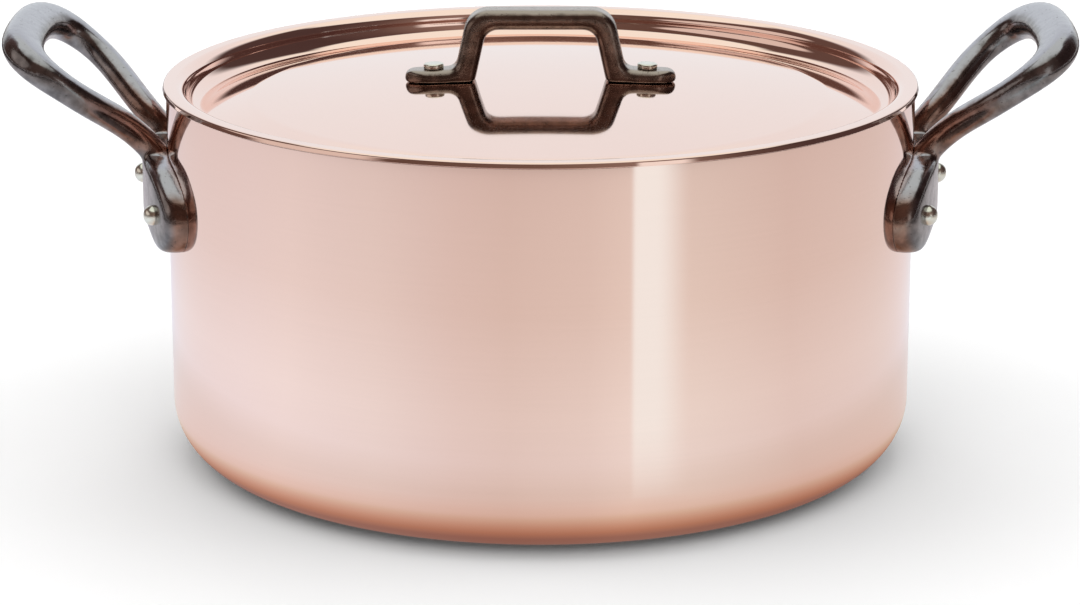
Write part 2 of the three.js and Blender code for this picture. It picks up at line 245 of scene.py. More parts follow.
class StewPotLidSizes(bpy.types.PropertyGroup):
    """Sizes of the lid's copper and its lining."""

    radius: placed_length("Radius", "Radius over the flange", LID_HIGH[0])
    top: placed_length("Flange height", "Height of the flange's upper face", LID_HIGH[2])
    flange: length("Flange width", "Flat part of the flange", 3.9)
    shoulder: length("Shoulder radius", "Radius between flange and wall", 3.4)
    root: length("Root radius", "Radius of the groove at the wall's foot", 5.6)
    brow: length("Brow", "Distance from the middle at which the dome bends down to the groove", 93.9)
    brow_round: length("Brow rounding", "Radius of the bend from dome to groove", 16)
    brow_slope: bpy.props.FloatProperty(
        name="Brow slope", description="Slope between dome and groove", default=math.radians(13.5),
        subtype="ANGLE",
    )
    dome: length("Dome radius", "Radius of the domed middle", 950)
    dome_drop: length("Dome drop", "How far the dome stays under the flange", 0.85)
    copper: length("Copper", "Thickness of the copper", 1.1)
    lining: length("Lining", "Thickness of the steel lining", 0.4)
    bond: length("Bond", "Gap between copper and lining", 0.05)
    lip_round: length("Lip rounding", "Radius along the flange's upper edge", 0.8)
    lip_edge: length("Lip edge", "Radius along the flange's lower edge", 0.08)
    lip_lean: length("Lip lean", "How far the lip's face leans in towards its top", 0.4)
    lip_drop: length("Lip drop", "Height of the lip's face", 1.7)
    lining_inset: length("Lining inset", "How far the lining stays behind the flange's edge", 1.6)


class StewPotSideHandleSizes(bpy.types.PropertyGroup):
    """Sizes of the two loop handles."""

    seat_gap: length("Seat gap", "Gap between plate and pot", 0.05)
    plate: length("Plate thickness", "Thickness of the plate in its middle", 8.3)
    lobe_plate: length("Lobe thickness", "Thickness of the plate at its lobes", 7.3)
    plate_bottom: length("Plate bottom", "Height of the plate's lower edge", 79)
    plate_top: length("Plate top", "Height of the plate's upper edge", 103.5)
    plate_dip: length("Plate dip", "How far the upper edge dips between the arms", 3)
    lobe_spread: length("Lobe spread", "Distance of a lobe from the middle", 38)
    lobe_height: length("Lobe height", "Height of a lobe's middle", 87.5)
    lobe_radius: length("Lobe radius", "Radius of a lobe", 12)
    shoulder_drop: length("Shoulder drop", "How far the upper edge has fallen over a lobe", 1.8)
    arm_spread: length("Arm spread", "Distance of an arm from the middle at the plate", 16)
    arm_rise: length("Arm rise", "Height of an arm's root over the plate's top", 1)
    arm_sweep: length("Arm sweep", "Radius in which an arm bends out of the plate", 12)
    grip_spread: length("Grip spread", "Half the width of the loop's middle line", 35.7)
    grip_reach: length("Grip reach", "How far the grip stands out from the pot", 44.9)
    grip_rise: length("Grip rise", "How far the grip rises over the arms' roots", 35.1)
    grip_arch: length("Grip arch", "How far the loop arches over a straight line", 5)
    arm_width: length("Arm half width", "Half the width of an arm", 4.7)
    arm_thickness: length("Arm half thickness", "Half the thickness of an arm", 4.3)
    grip_width: length("Grip half width", "Half the width of the grip", 6.7)
    grip_thickness: length("Grip half thickness", "Half the thickness of the grip", 5.1)
    section_round: bpy.props.FloatProperty(
        name="Section rounding", description="Corner radius of the loop as a share of its half width",
        default=0.7,
    )
    rivet_drop: length("Rivet drop", "How far the middle rivet sits under the plate's top", 11.1)
    back_cut: length("Back cut", "Depth that is filed off the plate's back to seat it", 3)
    skin: length("Skin", "Grain of the cast surface's mesh", 0.45)


class StewPotLidHandleSizes(bpy.types.PropertyGroup):
    """Sizes of the lid's bridge handle."""

    top: placed_length("Top", "Height of the bridge's upper face", BRIDGE_HIGH[2])
    seat_gap: length("Seat gap", "Gap between feet and lid", 0.08)
    width: length("Width", "Width of the bar, front to back", 11.8)
    bar: length("Bar", "Thickness of the bar", 6.6)
    proud: length("Proud", "How much is cast on the bar's top for filing", 0.5)
    thickness: length("Leg thickness", "Thickness of a leg", 7.3)
    foot: length("Foot thickness", "Thickness of a foot", 4.1)
    foot_length: length("Foot length", "Length of a foot past its leg", 15.7)
    opening: length("Opening", "Distance between the legs at the lid", 42.6)
    knee_round: length("Knee rounding", "Outside radius between leg and top", 8)
    knee_inner: length("Inner knee rounding", "Inside radius between leg and top", 4.5)
    edge_round: length("Edge rounding", "Radius along the front and back edges", 2.4)
    ankle_round: length("Ankle rounding", "Radius between leg and foot", 3.4)
    lean: bpy.props.FloatProperty(
        name="Lean", description="How far a leg leans in for each unit that it rises", default=0.22,
    )
    rivet_from_leg: length("Rivet from leg", "Distance of a rivet from its leg", 6.1)
    skin: length("Skin", "Grain of the cast surface's mesh", 0.36)


class StewPotRivetSizes(bpy.types.PropertyGroup):
    """Sizes of the rivets."""

    shank: length("Shank radius", "Radius of a rivet's shank", 2)
    side_head: length("Side head radius", "Radius of the side handles' rivet heads", 3.3)
    side_height: length("Side head height", "Height of the side handles' rivet heads", 3.5)
    lid_head: length("Lid head radius", "Radius of the lid handle's rivet heads", 3.3)
    lid_height: length("Lid head height", "Height of the lid handle's rivet heads", 1.6)
    inner_head: length("Inner head radius", "Radius of the heads inside pot and lid", 4.2)
    inner_height: length("Inner head height", "Height of the heads inside pot and lid", 1.4)
    spot_face: length("Spot face", "Depth of the flat under a side rivet's head", 0.4)


class StewPotColours(bpy.types.PropertyGroup):
    """Colours of the metals and the stage."""

    copper: colour("Copper", "Polished copper of pot and lid", (0.93, 0.68, 0.60))
    lining: colour("Lining", "Satin steel of the linings", (0.78, 0.775, 0.76))
    handle_iron: colour("Handle iron", "Smoothed iron of the side handles", (0.2, 0.18, 0.18))
    # Brown tint of the side handles near the pot: a painted reflection of the copper wall
    handle_copper_reflection: colour("Handle copper reflection", "Painted copper reflection on the iron near the pot", (0.23, 0.135, 0.105))
    # Lighter tone of the side handles' upward faces: a painted sheen of the light overhead
    handle_top_sheen: colour("Handle iron top sheen", "Painted sheen on the side handles' upward faces", (0.4, 0.385, 0.42))
    lid_iron: colour("Lid iron", "Rough cast iron of the lid's handle", (0.19, 0.14, 0.118))
    # Lighter tone of the lid handle's upward faces: a painted sheen of the light overhead
    lid_top_sheen: colour("Lid iron top sheen", "Painted sheen on the lid handle's upward faces", (0.36, 0.3, 0.265))
    rivet: colour("Rivets", "Steel of the rivets", (0.78, 0.75, 0.67))
    floor: colour("Floor", "White of the floor", (0.93, 0.93, 0.93))


def both_ways(operation):
    """An operator's two methods: for a value on its left, and for one on its right."""
    return (
        lambda value, other: value.math(operation, value, other),
        lambda value, other: value.math(operation, other, value),
    )


class Value:
    """One output of a shader tree, which adds Math nodes as it is used in sums."""

    def __init__(self, finish, node, output):
        self.finish = finish
        self.node = node
        self.socket = node.outputs[output]

    def out(self, output):
        return Value(self.finish, self.node, output)

    def math(self, operation, first, second):
        return self.finish.node("ShaderNodeMath", {"operation": operation}, {0: first, 1: second})

    __add__, __radd__ = both_ways("ADD")
    __sub__, __rsub__ = both_ways("SUBTRACT")
    __mul__, __rmul__ = both_ways("MULTIPLY")
    __truediv__, __rtruediv__ = both_ways("DIVIDE")
    __pow__, __rpow__ = both_ways("POWER")


class Finish:
    """A shader tree under construction, on a material or the world."""

    def __init__(self, owner):
        self.owner = owner
        owner.use_nodes = True
        self.tree = owner.node_tree
        self.tree.nodes.clear()

    def node(self, kind, settings=None, sockets=None, output=0):
        """Adds a node: its settings first, then the values or links of its sockets."""
        node = self.tree.nodes.new(kind)
        for name, value in (settings or {}).items():
            if name == "stops":
                self.set_stops(node.color_ramp, value)
            else:
                setattr(node, name, value)
        for key, value in (sockets or {}).items():
            if isinstance(value, Value):
                self.tree.links.new(value.socket, node.inputs[key])
            else:
                node.inputs[key].default_value = value
        return Value(self, node, output) if node.outputs else None

    @staticmethod
    def set_stops(ramp, stops):
        """Gives a ramp its (position, colour) stops."""
        while len(ramp.elements) < len(stops):
            ramp.elements.new(1)
        for element, (position, tone) in zip(ramp.elements, stops):
            element.position = position
            element.color = opaque(tone)

    def object_place(self):
        return self.node("ShaderNodeTexCoord", output="Object")

    def parts(self, vector):
        """A vector's x, y and z."""
        parts = self.node("ShaderNodeSeparateXYZ", {}, {0: vector})
        return parts.out("X"), parts.out("Y"), parts.out("Z")

    def noise(self, place, scale, detail=3.0, roughness=0.55):
        return self.node(
            "ShaderNodeTexNoise", {},
            {"Vector": place, "Scale": scale, "Detail": detail, "Roughness": roughness},
        )

    def blend(self, share, first, second):
        """A colour between two colours."""
        return self.node(
            "ShaderNodeMix", {"data_type": "RGBA"}, {0: share, 6: first, 7: second}, output=2,
        )

    def span(self, value, low, high):
        """A value's share of the way from low to high, smoothed at both ends."""
        return self.node(
            "ShaderNodeMapRange", {"interpolation_type": "SMOOTHSTEP"},
            {"Value": value, "From Min": low, "From Max": high},
        )

    def heading(self, x, ahead):
        """A heading round Z, zero to the front and growing to the right."""
        return x.math("ARCTAN2", x, ahead)

    def around(self, heading, tones, factor=1.0):
        """A tone that changes with the heading."""
        stops = [(0.5 + degrees / 360, shade(tone, factor)) for degrees, tone in tones]
        return self.node("ShaderNodeValToRGB", {"stops": stops}, {0: heading / math.tau + 0.5})

    def band(self, heading, start, end):
        """One between two soft edges, each given as two headings in degrees, and zero outside."""
        begun = self.span(heading, *map(math.radians, start))
        return begun * (1 - self.span(heading, *map(math.radians, end)))

    def bump(self, height, strength, distance):
        return self.node(
            "ShaderNodeBump", {}, {"Strength": strength, "Distance": distance, "Height": height},
        )

    def metal(self, base, roughness, normal):
        """Closes the tree with a bare metal."""
        shader = self.node(
            "ShaderNodeBsdfPrincipled", {},
            {"Base Color": base, "Metallic": 1.0, "Roughness": roughness, "Normal": normal},
        )
        return self.close(shader)

    def glow(self, tone, strength):
        return self.node("ShaderNodeEmission", {}, {"Color": tone, "Strength": strength})

    def card(self, shown, glow):
        """Closes the tree with a glow, clear where it isn't shown."""
        clear = self.node("ShaderNodeBsdfTransparent")
        return self.close(self.node("ShaderNodeMixShader", {}, {0: shown, 1: clear, 2: glow}))

    def close(self, shader):
        self.node("ShaderNodeOutputMaterial", {}, {"Surface": shader})
        return self.owner


def opaque(rgb):
    return (rgb[0], rgb[1], rgb[2], 1.0)


def shade(rgb, factor):
    """A colour made darker or lighter."""
    return opaque([min(channel * factor, 1.0) for channel in rgb])


def off_axis(x, y):
    """Distance from the pot's axis."""
    return (x * x + y * y) ** 0.5


def lathe_rings(finish, across, along):
    """Fine rings as a lathe leaves them: long round the axis and narrow along the section."""
    x, y, z = finish.parts(finish.object_place())
    section = (off_axis(x, y) + z) * across
    place = finish.node("ShaderNodeCombineXYZ", {}, {0: x * along, 1: y * along, 2: section})
    return finish.noise(place, 1.0, detail=4.0, roughness=0.6)


def copper_finish(name, rgb):
    """Mirror-polished copper with faint lathe rings and a slow change of tone."""
    finish = Finish(bpy.data.materials.new(name))
    rings = lathe_rings(finish, across=1400.0, along=22.0)
    cloud = finish.noise(finish.object_place(), 14.0, detail=2.0)
    tone = finish.span(rings * 0.4 + cloud * 0.6, 0.3, 0.7)
    base = finish.blend(tone, shade(rgb, 0.988), shade(rgb, 1.008))
    roughness = 0.04 + rings * 0.03
    return finish.metal(base, roughness, finish.bump(rings, 0.006, 0.00002))


def lining_finish(name, rgb):
    """Satin steel, brushed in rings."""
    finish = Finish(bpy.data.materials.new(name))
    rings = lathe_rings(finish, across=2200.0, along=30.0)
    base = finish.blend(rings, shade(rgb, 0.9), shade(rgb, 1.08))
    return finish.metal(base, 0.3 + rings * 0.16, finish.bump(rings, 0.15, 0.00004))


def iron_finish(name, rgb, top_sheen_rgb, reflected_copper_rgb, gloss, grain, waves):
    """Cast iron with painted light: its upward faces are lighter, a painted sheen of the light overhead,
    and it is brown at the pot's wall and above the plate, a painted reflection of the copper. A fine sandy
    grain, small dark pits, slow waves and cloudy tone."""
    finish = Finish(bpy.data.materials.new(name))
    place = finish.object_place()
    sand = finish.noise(place, 1500.0, roughness=0.65)
    cloud = finish.noise(place, 240.0)
    wave = finish.noise(place, 230.0, detail=1.0)
    pits = finish.span(finish.noise(place, 900.0, detail=2.0), 0.62, 0.74)
    drift = cloud - 0.5
    x, y, z = finish.parts(place)
    distance = off_axis(x, y)
    along_arm = 1 - finish.span(distance + drift * 0.012, *COPPER_REFLECTION_ARM)
    on_arm = finish.span(z + drift * 0.006, *COPPER_REFLECTION_RISE) * along_arm
    at_wall = 1 - finish.span(distance, *COPPER_REFLECTION_WALL)
    # Painted reflection of the copper: the iron turns brown at the pot's wall and on the arms above the
    # plate
    copper_reflection = place.math("MAXIMUM", on_arm, at_wall)
    dull = finish.blend(copper_reflection, shade(rgb, 0.7), shade(reflected_copper_rgb, 0.7))
    bright = finish.blend(copper_reflection, shade(rgb, 1.3), shade(reflected_copper_rgb, 1.3))
    cast_tone = finish.blend(finish.span(cloud, 0.3, 0.7), dull, bright)
    _, _, upward = finish.parts(finish.node("ShaderNodeNewGeometry", output="Normal"))
    # Painted sheen: faces that point up are made lighter, standing in for the light overhead
    upward_sheen = finish.span(upward + drift * 0.3, 0.5, 0.85)
    sheened_tone = finish.blend(upward_sheen, cast_tone, opaque(top_sheen_rgb))
    base = finish.blend(pits * 0.6, sheened_tone, shade(rgb, 0.35))
    height = (sand - pits * 0.6) * grain + wave * waves
    roughness = gloss + sand * 0.12 + pits * 0.15
    return finish.metal(base, roughness, finish.bump(height, 1.0, 0.0002))


def rivet_finish(name, rgb):
    """Bright steel with some tarnish."""
    finish = Finish(bpy.data.materials.new(name))
    place = finish.object_place()
    tarnish = finish.noise(place, 420.0, detail=3.0)
    base = finish.blend(tarnish, shade(rgb, 0.78), shade(rgb, 1.1))
    return finish.metal(base, 0.16 + tarnish * 0.14, finish.bump(tarnish, 0.08, 0.0001))


def show(name, mesh, material, body, node):
    """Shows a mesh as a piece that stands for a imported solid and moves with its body."""
    piece = bpy.data.objects.new(name, mesh)
    bpy.context.scene.collection.objects.link(piece)
    mesh.materials.clear()
    mesh.materials.append(material)
    mesh.shade_smooth()
    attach(piece, body)
    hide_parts(node)


def show_sheets(body, shell, lining, colours):
    """Shows a body's copper and its lining."""
    copper = copper_finish(f"{body} copper", colours.copper)
    steel = lining_finish(f"{body} lining", colours.lining)
    show(f"{body}_copper", shell, copper, body, f"{body}_shell")
    show(f"{body}_steel", lining, steel, body, f"{body}_lining")


def mesh_of(bm, name):
    mesh = bpy.data.meshes.new(name)
    bm.to_mesh(mesh)
    bm.free()
    return mesh


def draw_line(bm, corners, closed=False):
    """Draws edges through (x, z, radius) corners in the plane y = 0, each rounded to its radius."""
    verts = [bm.verts.new((x, 0, z)) for x, z, _ in corners]
    ends = verts[1:] + verts[:1] if closed else verts[1:]
    for start, end in zip(verts, ends):
        bm.edges.new((start, end))
    reaches = []
    for i, (_, _, radius) in enumerate(corners):
        if radius > 0:
            here = verts[i].co
            came = here - verts[i - 1].co
            goes = verts[(i + 1) % len(verts)].co - here
            reaches.append((verts[i], radius, radius * math.tan(came.angle(goes) / 2)))
    for vert, radius, reach in reaches:
        bmesh.ops.bevel(
            bm, geom=[vert], offset=reach, offset_type="OFFSET", affect="VERTICES",
            segments=CORNER_STEPS if radius > MM else EDGE_STEPS, profile=0.5, material=-1,
        )


def cut_long_edges(bm, step):
    """Divides edges that are longer than a step."""
    for edge in bm.edges[:]:
        cuts = int(edge.calc_length() / step)
        if cuts:
            bmesh.ops.subdivide_edges(bm, edges=[edge], cuts=cuts)


def guard_bends(bm, margin):
    """Adds a point beside each sharp bend of a line, so that the shading turns only at the bend."""
    for vert in [vert for vert in bm.verts if vert.calc_edge_angle(0) > SHARP_BEND]:
        for edge in vert.link_edges[:]:
            if edge.calc_length() > 4 * margin:
                bmesh.utils.edge_split(edge, vert, margin / edge.calc_length())


def turn(bm, steps):
    """Spins a section about Z into a closed body."""
    bmesh.ops.spin(
        bm, geom=bm.verts[:] + bm.edges[:], cent=(0, 0, 0), axis=(0, 0, 1),
        angle=math.tau, steps=steps, use_merge=True,
    )
    bmesh.ops.remove_doubles(bm, verts=bm.verts, dist=MERGE_REACH)
    bmesh.ops.recalc_face_normals(bm, faces=bm.faces)


def turned_sheet(name, corners):
    """A turned sheet whose section starts and ends on the axis."""
    bm = bmesh.new()
    draw_line(bm, corners)
    guard_bends(bm, BEND_GUARD)
    cut_long_edges(bm, LINE_STEP)
    turn(bm, TURN_STEPS)
    return mesh_of(bm, name)


def pot_layer(name, sizes, outer, inner):
    """A layer of the pot between two depths from its outside."""
    edge = min(sizes.rim_round, RIM_SHARE * (inner - outer))
    return turned_sheet(name, [
        (0, outer, 0),
        (sizes.radius - outer, outer, sizes.corner - outer),
        (sizes.radius - outer, sizes.height, edge),
        (sizes.radius - inner, sizes.height, edge),
        (sizes.radius - inner, inner, sizes.corner - inner),
        (0, inner, 0),
    ])


class STEWPOT_OT_turn_pot(bpy.types.Operator):
    """Turns the pot's copper and its steel lining"""

    bl_idname = "stew_pot.turn_pot"
    bl_label = "Turn pot"

    def execute(self, context):
        sizes = context.scene.stew_pot_pot
        inside = sizes.copper + sizes.bond
        shell = pot_layer("pot_copper", sizes, 0, sizes.copper)
        lining = pot_layer("pot_steel", sizes, inside, inside + sizes.lining)
        show_sheets("pot", shell, lining, context.scene.stew_pot_colours)
        return {"FINISHED"}


def dome_height(lid, x):
    """Height of the lid's upper face at a distance from the middle."""
    centre = lid.top - lid.dome_drop - lid.dome
    return centre + math.sqrt(lid.dome ** 2 - x ** 2)


def lid_face(lid, depth):
    """Corners of the lid's section from the axis to the shoulder, at a depth under its upper face."""
    wall = lid.radius - lid.flange - lid.shoulder + depth
    centre = lid.top - lid.dome_drop - lid.dome
    radius = lid.dome - depth
    lean = math.asin(lid.brow / lid.dome)
    steps = int(lid.brow / LINE_STEP)
    dome = [
        (radius * math.sin(lean * i / steps), centre + radius * math.cos(lean * i / steps), 0)
        for i in range(steps)
    ]
    brow_x = radius * math.sin(lean)
    brow_z = centre + radius * math.cos(lean)
    brow = (brow_x, brow_z, lid.brow_round - depth)
    root = (wall, brow_z - (wall - brow_x) * math.tan(lid.brow_slope), lid.root + depth)
    shoulder = (wall, lid.top - depth, lid.shoulder - depth)
    clear = brow_x - lid.brow_round * math.tan(lid.brow_slope / 2)
    return [*(point for point in dome if point[0] < clear), brow, root, shoulder]


def lid_layer(name, lid, upper, lower, edge):
    """A layer of the lid between two depths, closed by the corners of its edge."""
    return turned_sheet(name, [*lid_face(lid, lower), *edge, *reversed(lid_face(lid, upper))])


def lip_corners(lid):
    """Corners of the flange's turned-down edge, which leans in and covers the lining's edge."""
    inner = lid.radius - lid.lining_inset + lid.bond
    return [
        (inner, lid.top - lid.copper, 0),
        (inner, lid.top - lid.lip_drop, 0),
        (lid.radius, lid.top - lid.lip_drop, lid.lip_edge),
        (lid.radius - lid.lip_lean, lid.top, lid.lip_round),
    ]


def lining_corners(lid, upper, lower):
    """Corners of the lining's edge behind the flange's lip."""
    reach = lid.radius - lid.lining_inset
    rounding = LINING_SHARE * lid.lining
    return [(reach, lid.top - lower, rounding), (reach, lid.top - upper, rounding)]


class STEWPOT_OT_turn_lid(bpy.types.Operator):
    """Turns the lid's copper and its steel lining"""

    bl_idname = "stew_pot.turn_lid"
    bl_label = "Turn lid"

    def execute(self, context):
        lid = context.scene.stew_pot_lid
        inside = lid.copper + lid.bond
        under = inside + lid.lining
        shell = lid_layer("lid_copper", lid, 0, lid.copper, lip_corners(lid))
        lining = lid_layer("lid_steel", lid, inside, under, lining_corners(lid, inside, under))
        show_sheets("lid", shell, lining, context.scene.stew_pot_colours)
        return {"FINISHED"}


def cast(bm, name, skin, filing):
    """Casts overlapping bodies as one: a new even skin over them all, filed smooth."""
    mould = bpy.data.objects.new(name, mesh_of(bm, name + "_mould"))
    bpy.context.scene.collection.objects.link(mould)
    remesh = mould.modifiers.new("Even skin", "REMESH")
    remesh.mode = "VOXEL"
    remesh.voxel_size = skin
    smooth = mould.modifiers.new("Filing", "SMOOTH")
    smooth.factor = 0.5
    smooth.iterations = filing
    casting = bpy.data.meshes.new_from_object(mould.evaluated_get(bpy.context.evaluated_depsgraph_get()))
    casting.name = name
    bare = mould.data
    bpy.data.objects.remove(mould)
    bpy.data.meshes.remove(bare)
    return casting


def bar(bm, rounding, places):
    """Adds a closed bar: a rounded section, extruded from place to place."""
    drawn = bmesh.ops.create_grid(bm, x_segments=1, y_segments=1, size=1)
    made = bmesh.ops.bevel(
        bm, geom=drawn["verts"], offset=rounding, offset_type="OFFSET", affect="VERTICES",
        segments=SECTION_STEPS, profile=0.5, material=-1,
    )
    end = made["verts"][0].link_faces[0]
    bmesh.ops.transform(bm, matrix=places[0], verts=end.verts[:])
    for here, there in zip(places, places[1:]):
        grown = bmesh.ops.extrude_face_region(bm, geom=[end])["geom"]
        end = next(item for item in grown if isinstance(item, bmesh.types.BMFace))
        bmesh.ops.transform(bm, matrix=there @ here.inverted(), verts=end.verts[:])


def bezier(points, t):
    """A point on a Bezier curve, by drawing lines between lines."""
    while len(points) > 1:
        points = [a.lerp(b, t) for a, b in zip(points, points[1:])]
    return points[0]


def smooth_step(value, low, high):
    share = min(max((value - low) / (high - low), 0), 1)
    return share * share * (3 - 2 * share)


def loop_outline(handle):
    """The loop seen square to its own plane: share of the reach, and distance to the side. A share
    under zero is the part that runs down into the plate."""
    spread = handle.grip_spread
    crest = (LOOP_WIDEST, spread)
    arm = [(0, handle.arm_spread), (LOOP_LEAVE, handle.arm_spread), (LOOP_FLARE, spread), crest]
    end = [crest, (LOOP_TURN, spread), (1, GRIP_STRAIGHT * spread), (1, 0)]
    count = LOOP_STEPS // 4
    there = [Vector((i / ROOT_STEPS - 1, handle.arm_spread)) for i in range(ROOT_STEPS)]
    there += [bezier([Vector(point) for point in arm], i / count) for i in range(count)]
    there += [bezier([Vector(point) for point in end], i / count) for i in range(count + 1)]
    back = [Vector((point.x, -point.y)) for point in reversed(there[:-1])]
    return there + back


def loop_lift(handle, pot_radius, u):
    """The loop seen from its side: a point of its middle line, and the way on, as (x, z) vectors."""
    height = handle.plate_top + handle.arm_rise
    root = Vector((pot_radius + handle.seat_gap + handle.plate / 2, height))
    tip = Vector((pot_radius + handle.grip_reach, height + handle.grip_rise))
    bend = root.lerp(tip, LOOP_BEND) + Vector((0, handle.grip_arch))
    if u >= 0:
        return bezier([root, bend, tip], u), (bend - root).lerp(tip - bend, u).normalized()
    start = (bend - root).normalized()
    lean = math.atan2(start.y, start.x)
    heading = lean - u * (math.pi / 2 - lean)
    centre = root + handle.arm_sweep * Vector((start.y, -start.x))
    on = Vector((math.cos(heading), math.sin(heading)))
    return centre + handle.arm_sweep * Vector((-on.y, on.x)), on


def loop_places(handle, pot_radius):
    """Where the loop's section stands along it: its two half sizes across and up, and its way on."""
    outline = loop_outline(handle)
    lifts = [loop_lift(handle, pot_radius, u) for u, _ in outline]
    centres = [Vector((point.x, y, point.y)) for (point, _), (_, y) in zip(lifts, outline)]
    places = []
    for i, (u, _) in enumerate(outline):
        on = lifts[i][1]
        up = Vector((-on.y, 0, on.x))
        along = (centres[min(i + 1, len(centres) - 1)] - centres[max(i - 1, 0)]).normalized()
        across = up.cross(along)
        grip = smooth_step(u, *LOOP_BROADENS)
        width = handle.arm_width + grip * (handle.grip_width - handle.arm_width)
        thickness = handle.arm_thickness + grip * (handle.grip_thickness - handle.arm_thickness)
        place = Matrix((across * width, up * thickness, along * MM)).transposed().to_4x4()
        place.translation = centres[i]
        places.append(place)
    return places


def lobe_corner(handle, start, end):
    """A corner whose rounding follows a lobe while the outline turns between two headings."""
    reach = handle.lobe_radius / math.cos((end - start) / 2)
    outward = (start + end) / 2 - math.pi / 2
    y = handle.lobe_spread + reach * math.cos(outward)
    z = handle.lobe_height + reach * math.sin(outward)
    return (y, z, LOBE_EASE * handle.lobe_radius)


def plate_outline(handle):
    """Corners of half the plate's outline, (y, z, radius), from the lower middle to the upper middle."""
    return [
        (0, handle.plate_bottom, 0),
        (HOLLOW_SHARE * handle.lobe_spread, handle.plate_bottom, HOLLOW_ROUND),
        lobe_corner(handle, LOBE_START, LOBE_SIDE),
        lobe_corner(handle, LOBE_SIDE, LOBE_END),
        (handle.lobe_spread, handle.plate_top - handle.shoulder_drop, SHOULDER_ROUND),
        (handle.arm_spread, handle.plate_top, 0),
        (0, handle.plate_top - handle.plate_dip / 2, 0),
    ]


def cut_across(bm, x, side=1):
    """Cuts a drawing along an upright plane."""
    bmesh.ops.bisect_plane(
        bm, geom=bm.verts[:] + bm.edges[:] + bm.faces[:], dist=CUT_REACH,
        plane_co=(x, 0, 0), plane_no=(side, 0, 0),
    )


def thicken(bm):
    """Gives a flat drawing a second face, and returns the vertices of both."""
    back = bm.verts[:]
    grown = bmesh.ops.extrude_face_region(bm, geom=bm.faces[:], use_keep_orig=False)["geom"]
    return back, [item for item in grown if isinstance(item, bmesh.types.BMVert)]


def close_block(bm):
    bmesh.ops.recalc_face_normals(bm, faces=bm.faces)
    bmesh.ops.triangulate(bm, faces=bm.faces)


def plate_block(handle, pot_radius):
    """The plate: its outline cut into upright strips, bent to the pot and given its thickness."""
    seat = pot_radius + handle.seat_gap
    half = plate_outline(handle)
    other = [(-y, z, radius) for y, z, radius in reversed(half[1:-1])]
    plate = bmesh.new()
    draw_line(plate, [*half, *other], closed=True)
    bmesh.ops.contextual_create(plate, geom=plate.edges[:])
    count = int((handle.lobe_spread + handle.lobe_radius) / PLATE_STRIP)
    for i in range(-count, count + 1):
        cut_across(plate, i * PLATE_STRIP)
    lobe_angle = math.asin(handle.lobe_spread / (seat + handle.lobe_plate))
    bulge = seat + handle.plate - (seat + handle.lobe_plate) * math.cos(lobe_angle)
    face_radius = (handle.lobe_spread ** 2 + bulge ** 2) / (2 * bulge)
    face_centre = seat + handle.plate - face_radius
    back, front = thicken(plate)
    for vert in front:
        y, _, z = vert.co
        vert.co = (face_centre + math.sqrt(max(face_radius ** 2 - y * y, 0)), y, z)
    for vert in back:
        y, _, z = vert.co
        vert.co = (math.sqrt((seat - handle.back_cut) ** 2 - y * y), y, z)
    close_block(plate)
    return plate


def clear_of_pot(mesh, seat):
    """Moves what would stand inside the pot's wall out to the seat."""
    for vert in mesh.vertices:
        reach = vert.co.xy.length
        if reach < seat:
            vert.co.xy *= seat / reach


class STEWPOT_OT_cast_side_handles(bpy.types.Operator):
    """Casts the two loop handles"""

    bl_idname = "stew_pot.cast_side_handles"
    bl_label = "Cast side handles"

    def execute(self, context):
        handle = context.scene.stew_pot_side_handle
        colours = context.scene.stew_pot_colours
        pot_radius = context.scene.stew_pot_pot.radius
        iron = iron_finish(
            "smoothed iron", colours.handle_iron, colours.handle_top_sheen, colours.handle_copper_reflection,
            gloss=0.12, grain=0.1, waves=0.5,
        )
        plate = cast(plate_block(handle, pot_radius), "plate", handle.skin, PLATE_FILING)
        bm = bmesh.new()
        bar(bm, handle.section_round, loop_places(handle, pot_radius))
        bm.from_mesh(plate)
        right = cast(bm, "right_loop", handle.skin, LOOP_FILING)
        clear_of_pot(right, pot_radius + handle.seat_gap)
        bpy.data.meshes.remove(plate)
        left = right.copy()
        left.name = "left_loop"
        left.transform(Matrix.Rotation(math.pi, 4, "Z"))
        show("right_iron_handle", right, iron, "pot", "right_handle")
        show("left_iron_handle", left, iron, "pot", "left_handle")
        return {"FINISHED"}


def bridge_outline(lid, bridge, inset):
    """Corners of the bridge's side view, (x, z, radius), all round, drawn in by a distance but for
    its seat."""
    inner = bridge.opening / 2
    outer = inner + bridge.thickness
    tip = outer + bridge.foot_length - inset
    base = dome_height(lid, inner) + bridge.seat_gap
    tip_level = dome_height(lid, tip) + bridge.seat_gap
    rise = bridge.top + bridge.proud - base
    inner_rise = rise - bridge.bar + inset
    outer_rise = rise - inset
    foot_rise = dome_height(lid, outer) + bridge.seat_gap + bridge.foot - base - inset
    edge = bridge.foot - inset
    half = [
        (inner + inset, base, HEEL_ROUND),
        (tip, tip_level, TIP_UNDER * edge),
        (tip, tip_level + edge, TIP_OVER * edge),
        (outer - inset - bridge.lean * foot_rise, base + foot_rise, bridge.ankle_round + inset),
        (outer - inset - bridge.lean * outer_rise, base + outer_rise, bridge.knee_round - inset),
    ]
    inner_knee_x = inner + inset - bridge.lean * inner_rise
    inner_knee = [(side * inner_knee_x, base + inner_rise, bridge.knee_inner + inset) for side in (-1, 1)]
    mirrored = [(-x, z, radius) for x, z, radius in reversed(half)]
    return [*half, *mirrored, *inner_knee]


